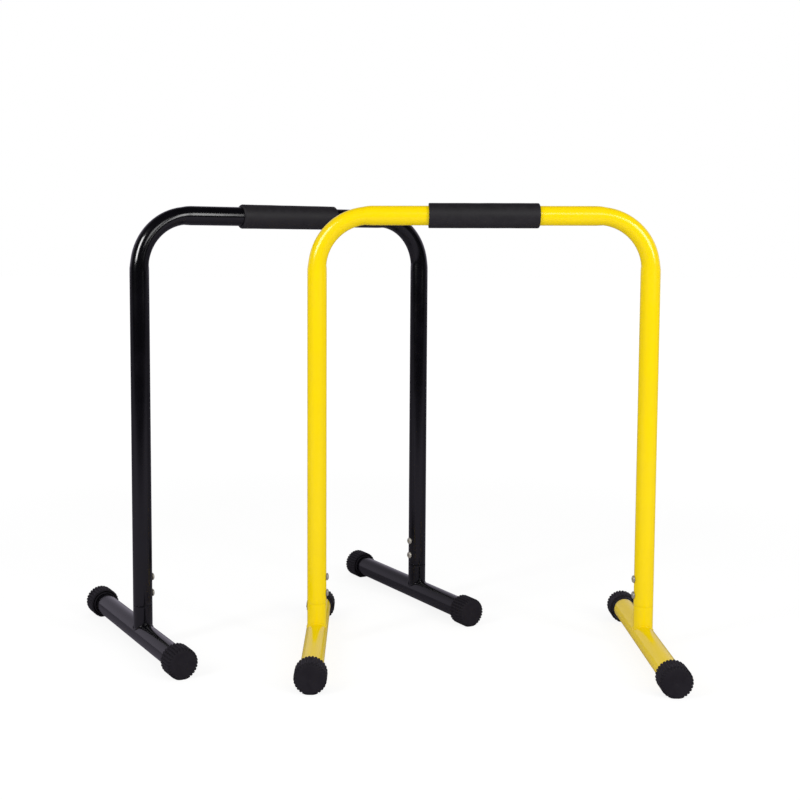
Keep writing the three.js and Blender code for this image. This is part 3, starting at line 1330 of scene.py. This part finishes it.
@dataclass(frozen=True)
class WeldBead:
    """The rippled weld bead along the saddle line between stub and foot tube.

    The depth of the ripples and the spread of their sizes are shares of its radius.
    """

    radius: float = 1.5 * MM
    ripples: int = 38
    samples_per_ripple: int = 6
    sides: int = 12
    ripple_depth: float = 0.14
    ripple_spread: float = 0.16

    @staticmethod
    def rippled_bead(b: TreeBuilder) -> None:
        """Lays out the geometry tree that runs a rippled bead along the saddle line.

        Args:
            b: builder of the tree.
        """
        samples = b.math("MULTIPLY", b.start["Ripples"], b.start["Samples"])
        ring = b.circle(Resolution=samples, Radius=b.start["Post Radius"])
        at = b.axes(b.add("GeometryNodeInputPosition").outputs[0])
        foot_squared = b.math("POWER", b.start["Foot Radius"], 2.0)
        squared = b.math("SUBTRACT", foot_squared, b.math("POWER", at["X"], 2.0))
        rise = b.math("SQRT", b.math("MAXIMUM", squared, 0.0))
        saddle = b.math("ADD", rise, b.start["Foot Height"])
        seam = b.move(ring, b.point(at["X"], at["Y"], saddle))
        step = b.math("DIVIDE", b.add("GeometryNodeInputIndex").outputs[0], b.start["Samples"])
        within = b.math("FRACT", step)
        luck = b.chance(ID=b.math("FLOOR", step), Seed=b.start["Seed"])
        dip = b.math("MULTIPLY", b.math("POWER", within, 2.0), b.start["Ripple Depth"])
        spread = b.math("MULTIPLY", b.math("SUBTRACT", luck, 0.5), b.start["Ripple Spread"])
        size = b.math("ADD", b.math("SUBTRACT", 1.0, dip), spread)
        sized = b.add("GeometryNodeSetCurveRadius", {"Curve": seam, "Radius": size})
        section = b.circle(Resolution=b.start["Bead Sides"], Radius=b.start["Bead Radius"])
        b.close(b.sweep(sized.outputs[0], section))

    def build(self, foot: "Foot", post_radius: float, finish: Finish, seed: int) -> bpy.types.Mesh:
        """Makes the bead about a leg's axis.

        Args:
            foot: the foot that carries it.
            post_radius: radius of the stub.
            finish: its paint.
            seed: seed of its ripples.

        Returns:
            The bead's mesh.
        """
        sizes = {
            "Post Radius": post_radius,
            "Foot Radius": foot.tube.radius,
            "Foot Height": foot.cap.axis_height,
            "Bead Radius": self.radius,
            "Bead Sides": self.sides,
            "Ripples": self.ripples,
            "Samples": self.samples_per_ripple,
            "Ripple Depth": self.ripple_depth,
            "Ripple Spread": self.ripple_spread,
            "Seed": seed,
        }
        carrier = polyline("bead", [(0, 0, 0), (MM, 0, 0)])
        return tidied(grow(carrier, self.rippled_bead, finish, sizes))


@dataclass(frozen=True)
class EndCap:
    """A ribbed rubber cap: closed face, grooved skirt, recess, and collar on the tube.

    A groove's floor and edge are shares of its width to either side of its middle. On the
    face's rounded edge the grooves get shallower where it looks outwards by less than
    groove_run_out. The sprue's shares are of its radius and depth.
    """

    foot_tube: RoundTube
    length: float = 35 * MM
    end_thickness: float = 6 * MM
    web_thickness: float = 7 * MM
    face_rounding: float = 5.6 * MM
    rest_width: float = 17 * MM
    collar_wall: float = 2 * MM
    collar_reach: float = 2 * MM
    recess_width: float = 1.75 * MM
    skirt_wall: float = 2.1 * MM
    groove_depth: float = 1.5 * MM
    groove_width: float = 2.6 * MM
    groove_floor: float = 0.12
    groove_edge: float = 0.62
    groove_run_out: float = 0.55
    rib_count: int = 26
    samples: int = 348
    rim_softening: float = 0.6 * MM
    rim_degrees: Span = (-30, -90)
    rim_steps: int = 2
    sprue_radius: float = 1.7 * MM
    sprue_depth: float = 0.5 * MM
    sprue_shares: tuple[Span, ...] = ((0, 1), (0.6, 1), (1, 0.15), (1.25, 0))
    skirt_steps: int = 10
    rounding_steps: int = 10

    @property
    def bore(self) -> float:
        """Radius of the bore that takes the foot tube."""
        return self.foot_tube.radius + CLEARANCE

    @property
    def radius(self) -> float:
        """Outer radius over the ribs."""
        walls = self.collar_wall + self.recess_width + self.skirt_wall + self.groove_depth
        return self.bore + walls

    @property
    def axis_height(self) -> float:
        """Height of the foot tube's axis on the cap's flat."""
        return math.sqrt(self.radius ** 2 - (self.rest_width / 2) ** 2)

    def _section(self) -> tuple[Profile, Profile]:
        """The cap's section, from the middle of its face round to the end of its bore.

        Returns:
            Radius and place of each point, and the way and share in which grooves move it.
        """
        bore = self.bore
        collar = bore + self.collar_wall
        skirt = collar + self.recess_width
        rounding = self.face_rounding
        disc = self.radius - rounding
        soft = self.rim_softening
        mouth = -self.length
        lip = mouth - self.collar_reach
        floor = -self.end_thickness - self.web_thickness
        face = [(r * self.sprue_radius, -d * self.sprue_depth) for r, d in self.sprue_shares]
        face += [(disc / 2, 0), (disc - 2 * soft, 0)]
        edge = arc((disc, -rounding), rounding, 90, 0, self.rounding_steps)
        side = [
            (self.radius, -rounding + (mouth + soft + rounding) * i / self.skirt_steps)
            for i in range(1, self.skirt_steps + 1)
        ]
        side += arc((self.radius - soft, mouth + soft), soft, *self.rim_degrees, self.rim_steps)
        inside = [
            (skirt + soft / 2, mouth),
            (skirt, mouth + soft / 2),
            (skirt, floor - soft),
            (skirt, floor),
            (collar, floor),
            (collar, floor - soft),
            (collar, lip + soft / 2),
            (collar - soft / 2, lip),
            (bore + soft / 2, lip),
            (bore, lip + soft / 2),
            (bore, -self.end_thickness - soft),
            (bore, -self.end_thickness),
            (0, -self.end_thickness),
        ]
        still, outward = (0.0, 0.0), (1.0, 0.0)
        ways = [still] * len(face)
        for radius, place in edge:
            way = Vector((radius - disc, place + rounding)).normalized()
            share = min(1.0, way.x / self.groove_run_out)
            ways.append((way.x * share, way.y * share))
        ways += [outward] * len(side) + [still] * len(inside)
        return face + edge + side + inside, ways

    @staticmethod
    def grooved_cap(b: TreeBuilder) -> None:
        """Lays out the geometry tree that turns a section into a grooved cap with a flat.

        Args:
            b: builder of the tree.
        """
        index = b.add("GeometryNodeInputIndex").outputs[0]
        turn = b.math("MULTIPLY", b.math("DIVIDE", index, b.start["Samples"]), FULL_TURN)
        ring = b.store(b.circle(Resolution=b.start["Samples"]), "turn", "FLOAT", turn)
        line = b.add("GeometryNodeMeshToCurve", {"Mesh": b.start["Geometry"]}).outputs[0]
        spot = b.add("GeometryNodeInputPosition").outputs[0]
        swept = b.sweep(ring, b.store(line, "section", "FLOAT_VECTOR", spot))
        around = b.named("turn", "FLOAT")
        first_rib = b.math("ADD", b.start["Rest Half Angle"], -math.pi / 2)
        past = b.math("WRAP", b.math("SUBTRACT", around, first_rib), FULL_TURN, 0.0)
        ribbed = b.math("MULTIPLY_ADD", b.start["Rest Half Angle"], -2.0, FULL_TURN)
        pitch = b.math("DIVIDE", ribbed, b.start["Rib Count"])
        ribs = b.math("DIVIDE", past, pitch)
        nearest = b.math("ROUND", ribs)
        apart = b.math("ABSOLUTE", b.math("SUBTRACT", ribs, nearest))
        distance = b.math("MULTIPLY", b.math("MULTIPLY", apart, pitch), b.start["Radius"])
        floor = b.math("MULTIPLY", b.start["Groove Width"], b.start["Groove Floor"])
        edge = b.math("MULTIPLY", b.start["Groove Width"], b.start["Groove Edge"])
        shape = b.ramp(distance, floor, edge, 1.0, 0.0)
        after_first = b.math("GREATER_THAN", nearest, 0.5)
        last = b.math("SUBTRACT", b.start["Rib Count"], 0.5)
        before_last = b.math("LESS_THAN", nearest, last)
        cut = b.math("MULTIPLY", shape, b.math("MULTIPLY", after_first, before_last))
        depth = b.math("MULTIPLY", cut, b.start["Groove Depth"])
        profile = b.axes(b.named("section", "FLOAT_VECTOR"))
        way = b.axes(b.named("groove_way", "FLOAT_VECTOR"))
        radius = b.math("SUBTRACT", profile["X"], b.math("MULTIPLY", way["X"], depth))
        place = b.math("SUBTRACT", profile["Y"], b.math("MULTIPLY", way["Y"], depth))
        across = b.math("MULTIPLY", radius, b.math("COSINE", around))
        up = b.math("MULTIPLY", radius, b.math("SINE", around))
        raised = b.math("MAXIMUM", up, b.math("MULTIPLY", b.start["Rest Depth"], -1.0))
        shaped = b.move(swept, b.point(across, place, raised))
        b.close(shaped, forget=["turn", "section", "groove_way"])

    def build(self, node: str, place: Matrix, finish: Finish) -> None:
        """Makes a cap with its closed face at y = 0 and its mouth towards -Y, and places it.

        Args:
            node: the solid it stands for.
            place: where it stands, about the foot tube's axis.
            finish: its rubber.
        """
        name = f"{node}_ribbed"
        spots, ways = self._section()
        marks = {"groove_way": [(r, y, 0) for r, y in ways]}
        section = polyline(name, [(r, y, 0) for r, y in spots], marks)
        sizes = {
            "Radius": self.radius,
            "Samples": self.samples,
            "Rib Count": self.rib_count,
            "Rest Half Angle": math.asin(self.rest_width / 2 / self.radius),
            "Rest Depth": self.axis_height,
            "Groove Depth": self.groove_depth,
            "Groove Width": self.groove_width,
            "Groove Floor": self.groove_floor,
            "Groove Edge": self.groove_edge,
        }
        mesh = tidied(grow(section, self.grooved_cap, finish, sizes))
        set_down(name, mesh, place, finish, node)


@dataclass(frozen=True)
class Foot:
    """A foot: the tube across a leg, the stub welded on it, and the caps on its ends."""

    length: float = 430 * MM
    offset: float = 26.5 * MM
    joint_gap: float = 0.1 * MM
    cap: EndCap = EndCap(foot_tube=RoundTube(diameter=38.1 * MM, wall=2 * MM))
    bead: WeldBead = WeldBead()

    @property
    def tube(self) -> RoundTube:
        """The foot tube, which its caps fit."""
        return self.cap.foot_tube

    @property
    def tube_length(self) -> float:
        """Length of the foot tube between the closed ends of its caps."""
        return self.length - 2 * (self.cap.end_thickness + CLEARANCE)

    def build(self, site: LegSite, hoop: HoopFrame, paint: Finish, rubber: Finish) -> None:
        """Makes one foot.

        Args:
            site: the leg that it carries.
            hoop: the frame that it carries.
            paint: finish of the steel.
            rubber: finish of the caps.
        """
        name = f"{site.name}_foot_tube_painted"
        half = self.tube_length / 2
        axis = Vector((site.x, -self.offset, self.cap.axis_height))
        mesh = self.tube.along(name, [(0, -half, 0), (0, half, 0)], paint)
        set_down(name, mesh, site.stance.place(axis), paint, f"{site.name}_foot_tube")
        self._build_stub(site, hoop, paint)
        for end in CapEnd:
            spot = axis + Vector((0, end.value * self.length / 2, 0))
            place = site.stance.place(spot, 0.0 if end is CapEnd.INNER else math.pi)
            self.cap.build(f"{site.name}_{end.name.lower()}_end_cap", place, rubber)

    def _build_stub(self, site: LegSite, hoop: HoopFrame, paint: Finish) -> None:
        """Makes the upright stub, cut to the saddle line, with its weld bead.

        Args:
            site: the leg that it carries.
            hoop: the frame that it carries.
            paint: its finish.
        """
        name = f"{site.name}_foot_stub_welded"
        top = hoop.joint_height - self.joint_gap
        low = self.cap.axis_height
        post = hoop.tube.along(name, [(0, 0, low), (0, 0, top)], paint)
        reach = hoop.tube.end_softening * 2
        for vertex in post.vertices:
            saddle = math.sqrt(max(0.0, self.tube.radius ** 2 - vertex.co.x ** 2))
            share = max(0.0, 1 - max(0.0, vertex.co.z - low - reach) / (top - low - 2 * reach))
            if vertex.co.z < top - reach:
                vertex.co.z += saddle * share
        bead = self.bead.build(self, hoop.tube.radius, paint, seed=len(site.name))
        mesh = joined(name, [post, bead])
        place = site.stance.place((site.x, 0, 0))
        set_down(name, mesh, place, paint, f"{site.name}_foot_stub")


@dataclass(frozen=True)
class InnerParts:
    """Pieces held inside a leg. Their solids stay, in their own finishes."""

    def dress(self, leg_name: str, steel: Finish, zinc: Finish) -> None:
        """Gives the spigot and the nuts their finishes.

        Args:
            leg_name: name of the bar and leg.
            steel: finish of the spigot.
            zinc: finish of the nuts.
        """
        for piece, finish in (("spigot", steel), ("lower_nut", zinc), ("upper_nut", zinc)):
            node = f"{leg_name}_{piece}"
            solid = frame["nodes"][node]
            solid.data.materials.clear()
            solid.data.materials.append(finish.material())
            log.info("%s keeps its solid, in %s", node, finish.name)


@dataclass(frozen=True)
class DipBar:
    """One bar of the pair, with the names of its legs at -X and +X of its own axis."""

    colour: Paint
    leg_names: tuple[str, str]
    hoop: HoopFrame = HoopFrame()
    grip: HandGrip = HandGrip()
    foot: Foot = Foot()
    bolts: LegBolts = LegBolts()
    inner: InnerParts = InnerParts()

    def build(self, finishes: Finishes) -> None:
        """Makes all pieces of the bar.

        Args:
            finishes: the pair's finishes.
        """
        bar = self.colour.value
        paint = finishes.paint(self.colour)
        first, second = (f"{bar}_{leg_name}" for leg_name in self.leg_names)
        stance = Stance.between(f"{first}_spigot", f"{second}_spigot")
        self.hoop.build(bar, stance, self.bolts, paint)
        self.grip.build(bar, stance, self.hoop, finishes.foam)
        for side, leg_name in ((Leg.MINUS_X, first), (Leg.PLUS_X, second)):
            site = LegSite(leg_name, side, stance, self.hoop.leg_spacing)
            self.foot.build(site, self.hoop, paint, finishes.rubber)
            self.bolts.build(site, finishes.zinc)
            self.inner.dress(leg_name, finishes.steel, finishes.zinc)


@dataclass(frozen=True)
class SoftBox:
    """A rectangular studio lamp that is aimed at a point.

    A lamp that names pieces gives those its highlight and nothing else.
    """

    name: str
    place: Place
    aim: Place
    width: float
    height: float
    brightness: float
    shines_on: tuple[str, ...] = ()

    def build(self) -> None:
        """Hangs the lamp. Its power follows from its brightness and its face."""
        light = bpy.data.lights.new(self.name, "AREA")
        light.shape = "RECTANGLE"
        light.size = self.width
        light.size_y = self.height
        light.energy = self.brightness * math.pi * self.width * self.height
        lamp = bpy.data.objects.new(self.name, light)
        bpy.context.scene.collection.objects.link(lamp)
        lamp.location = self.place
        toward = Vector(self.aim) - Vector(self.place)
        lamp.rotation_euler = toward.to_track_quat("-Z", "Y").to_euler()
        if self.shines_on:
            lamp.visible_diffuse = False
            shining = bpy.data.collections.new(self.name)
            for piece in self.shines_on:
                shining.objects.link(bpy.data.objects[piece])
            lamp.light_linking.receiver_collection = shining


@dataclass(frozen=True)
class Camera:
    """The camera of the photograph, as the outlines of both bars place it.

    Its turns are in radians, its lens and sensor in millimetres.
    """

    place: Place = (0.01762, -2.21194, 0.69529)
    yaw: float = 0.0211
    pitch: float = -0.0771
    roll: float = 0.0026
    lens: float = 54.176
    sensor: float = 36.0
    shift: Span = (0.06875, -0.06875)

    def build(self) -> None:
        """Sets the camera up as the scene's own."""
        data = bpy.data.cameras.new("camera")
        data.sensor_fit = "HORIZONTAL"
        data.sensor_width = self.sensor
        data.lens = self.lens
        data.shift_x, data.shift_y = self.shift
        forward = Vector(
            (
                -math.sin(self.yaw) * math.cos(self.pitch),
                math.cos(self.yaw) * math.cos(self.pitch),
                math.sin(self.pitch),
            )
        )
        level = Vector((math.cos(self.yaw), math.sin(self.yaw), 0))
        upright = level.cross(forward)
        right = math.cos(self.roll) * level + math.sin(self.roll) * upright
        up = math.cos(self.roll) * upright - math.sin(self.roll) * level
        turn = Matrix((right, up, -forward)).transposed()
        camera = bpy.data.objects.new("camera", data)
        bpy.context.scene.collection.objects.link(camera)
        camera.matrix_world = Matrix.Translation(self.place) @ turn.to_4x4()
        bpy.context.scene.camera = camera


@dataclass(frozen=True)
class Studio:
    """A pale studio: floor, surroundings, lamps and camera.

    Tones that start with gloss are what reflections see in place of white. On the floor they
    are painted light near the object and painted shade behind it and far in front. Reaches are
    in metres on the floor, glow_reach from its middle and the others along Y. The spans
    overhead, backdrop_turn and backdrop_top are parts of a view's direction.
    """

    floor_size: float = 60.0
    floor_tone: Colour = (0.90, 0.90, 0.90, 1)
    floor_keeps_shadow: float = 0.20
    floor_glow: Span = (0.86, 0.95)
    glow_reach: Span = (0.9, 3.0)
    # Painted light and shade on the floor, seen only in reflections: lit near the object, darker
    # behind it and near black far in front.
    gloss_floor: Colour = (0.42, 0.39, 0.48, 1)
    gloss_back_floor: Colour = (0.26, 0.24, 0.30, 1)
    gloss_far_floor: Colour = (0.01, 0.01, 0.012, 1)
    dark_reach: Span = (-2.9, -1.0)
    back_reach: Span = (-0.5, 0.4)
    fill: float = 0.80
    overhead_fill: float = 0.36
    overhead: Span = (0.1, 0.9)
    gloss_backdrop: Colour = (0.56, 0.52, 0.63, 1)
    gloss_room: Colour = (0.012, 0.012, 0.014, 1)
    backdrop_turn: Span = (-0.10, 0.60)
    backdrop_top: Span = (0.20, 0.95)
    mirrored_ending: str = "_foot_stub_welded"
    lamps: tuple[SoftBox, ...] = (
        SoftBox(
            name="key",
            place=(0.95, -2.60, 1.85),
            aim=(0.1, 0.0, 0.75),
            width=1.2,
            height=0.8,
            brightness=4.4,
        ),
        SoftBox(
            name="left",
            place=(-2.00, -1.85, 1.85),
            aim=LEFT_AIM,
            width=0.50,
            height=1.5,
            brightness=11.0,
        ),
        SoftBox(
            name="right",
            place=(2.04, -1.93, 1.55),
            aim=RIGHT_AIM,
            width=0.55,
            height=1.3,
            brightness=8.5,
        ),
        SoftBox(
            name="glint_on_black_left",
            place=(-2.031, -1.883, 1.871),
            aim=LEFT_AIM,
            width=1.00,
            height=1.5,
            brightness=12.0,
            shines_on=("black_frame_tube_painted",),
        ),
        SoftBox(
            name="glint_on_yellow_left",
            place=(-2.061, -1.916, 1.893),
            aim=LEFT_AIM,
            width=1.50,
            height=1.5,
            brightness=8.0,
            shines_on=("yellow_frame_tube_painted",),
        ),
        SoftBox(
            name="glint_on_yellow_right",
            place=(2.073, -1.965, 1.565),
            aim=RIGHT_AIM,
            width=1.50,
            height=1.3,
            brightness=6.0,
            shines_on=("yellow_frame_tube_painted",),
        ),
    )
    camera: Camera = Camera()

    def build(self) -> None:
        """Sets up everything around the object."""
        self.camera.build()
        for lamp in self.lamps:
            lamp.build()
        self._build_floor()
        self._build_surroundings()
        bpy.context.scene.view_settings.view_transform = "Standard"
        log.info("studio with %d lamps", len(self.lamps))

    @staticmethod
    def _seen(b: TreeBuilder) -> tuple[Any, Any]:
        """How a surface or the room is seen: straight on, or in gloss and glass.

        Args:
            b: builder of the tree.

        Returns:
            Sockets for rays of the camera and for rays of reflections.
        """
        path = b.add("ShaderNodeLightPath").outputs
        mirrored = b.math("MAXIMUM", path["Is Glossy Ray"], path["Is Transmission Ray"])
        return path["Is Camera Ray"], mirrored

    def _build_floor(self) -> None:
        """Lays the pale floor. It looks white and keeps a light shadow of the object."""
        mesh = bpy.data.meshes.new("floor")
        reach = self.floor_size / 2
        corners = [(-reach, -reach, 0), (reach, -reach, 0), (reach, reach, 0), (-reach, reach, 0)]
        mesh.from_pydata(corners, [], [(0, 1, 2, 3)])
        floor = linked("floor", mesh)
        material = bpy.data.materials.new("pale_floor")
        material.use_nodes = True
        material.cycles.emission_sampling = "NONE"
        nodes = material.node_tree.nodes
        nodes.remove(nodes["Principled BSDF"])
        b = TreeBuilder(material.node_tree)
        camera, mirrored = self._seen(b)
        spot = b.add("ShaderNodeTexCoord").outputs["Object"]
        away = b.add("ShaderNodeVectorMath", {0: spot}, operation="LENGTH").outputs["Value"]
        strength = b.ramp(away, *self.glow_reach, *self.floor_glow)
        glow = b.add("ShaderNodeEmission", {"Strength": strength})
        share = self.floor_keeps_shadow
        faint = b.add("ShaderNodeBsdfDiffuse", {"Color": (share, share, share, 1)})
        white = b.add("ShaderNodeAddShader", {0: faint.outputs[0], 1: glow.outputs[0]})
        # In reflections the floor shows painted light near the object and painted shade behind it
        # and far in front.
        where = b.axes(spot)
        unlit = b.ramp(where["Y"], *self.dark_reach, 1.0, 0.0)
        behind = b.ramp(where["Y"], *self.back_reach)
        lit = b.blend(behind, self.gloss_floor, self.gloss_back_floor)
        gloss = b.blend(unlit, lit, self.gloss_far_floor)
        in_gloss = b.add("ShaderNodeBsdfDiffuse", {"Color": gloss}).outputs[0]
        plain = b.add("ShaderNodeBsdfDiffuse", {"Color": self.floor_tone}).outputs[0]
        unseen = b.add("ShaderNodeMixShader", {0: mirrored, 1: plain, 2: in_gloss})
        look = b.add("ShaderNodeMixShader", {0: camera, 1: unseen.outputs[0], 2: white.outputs[0]})
        b.feed(nodes["Material Output"].inputs["Surface"], look.outputs[0])
        mesh.materials.append(material)

    def _build_surroundings(self) -> None:
        """Lights the room. The backdrop is white, and the room before it is dim."""
        world = bpy.data.worlds.new("room")
        bpy.context.scene.world = world
        world.use_nodes = True
        world.cycles.sampling_method = "NONE"
        b = TreeBuilder(world.node_tree)
        background = world.node_tree.nodes["Background"]
        camera, mirrored = self._seen(b)
        way = b.axes(b.add("ShaderNodeTexCoord").outputs["Generated"])
        behind = b.ramp(way["Y"], *self.backdrop_turn)
        low = b.ramp(way["Z"], *self.backdrop_top, 1.0, 0.0)
        shine = b.blend(b.math("MULTIPLY", behind, low), self.gloss_room, self.gloss_backdrop)
        fill = b.ramp(way["Z"], *self.overhead, self.fill, self.overhead_fill)
        unseen = b.blend(mirrored, fill, shine)
        b.feed(background.inputs["Color"], b.blend(camera, unseen, WHITE))

    def keep_out_of_gloss(self, colour: Paint) -> None:
        """Keeps a bar out of reflections, where the photograph shows only its stubs.

        Args:
            colour: the bar.
        """
        for piece in bpy.data.objects:
            of_bar = piece.type == "MESH" and piece.name.startswith(colour.value)
            if of_bar and not piece.name.endswith(self.mirrored_ending):
                piece.visible_glossy = False


def main() -> None:
    """Builds both bars and the studio round them, in order."""
    logging.basicConfig(level=logging.INFO, format="%(name)s: %(message)s")
    finishes = Finishes()
    DipBar(Paint.YELLOW, ("left", "right")).build(finishes)
    DipBar(Paint.BLACK, ("right", "left")).build(finishes)
    studio = Studio()
    studio.build()
    studio.keep_out_of_gloss(Paint.YELLOW)


if __name__ == "__main__":
    main()
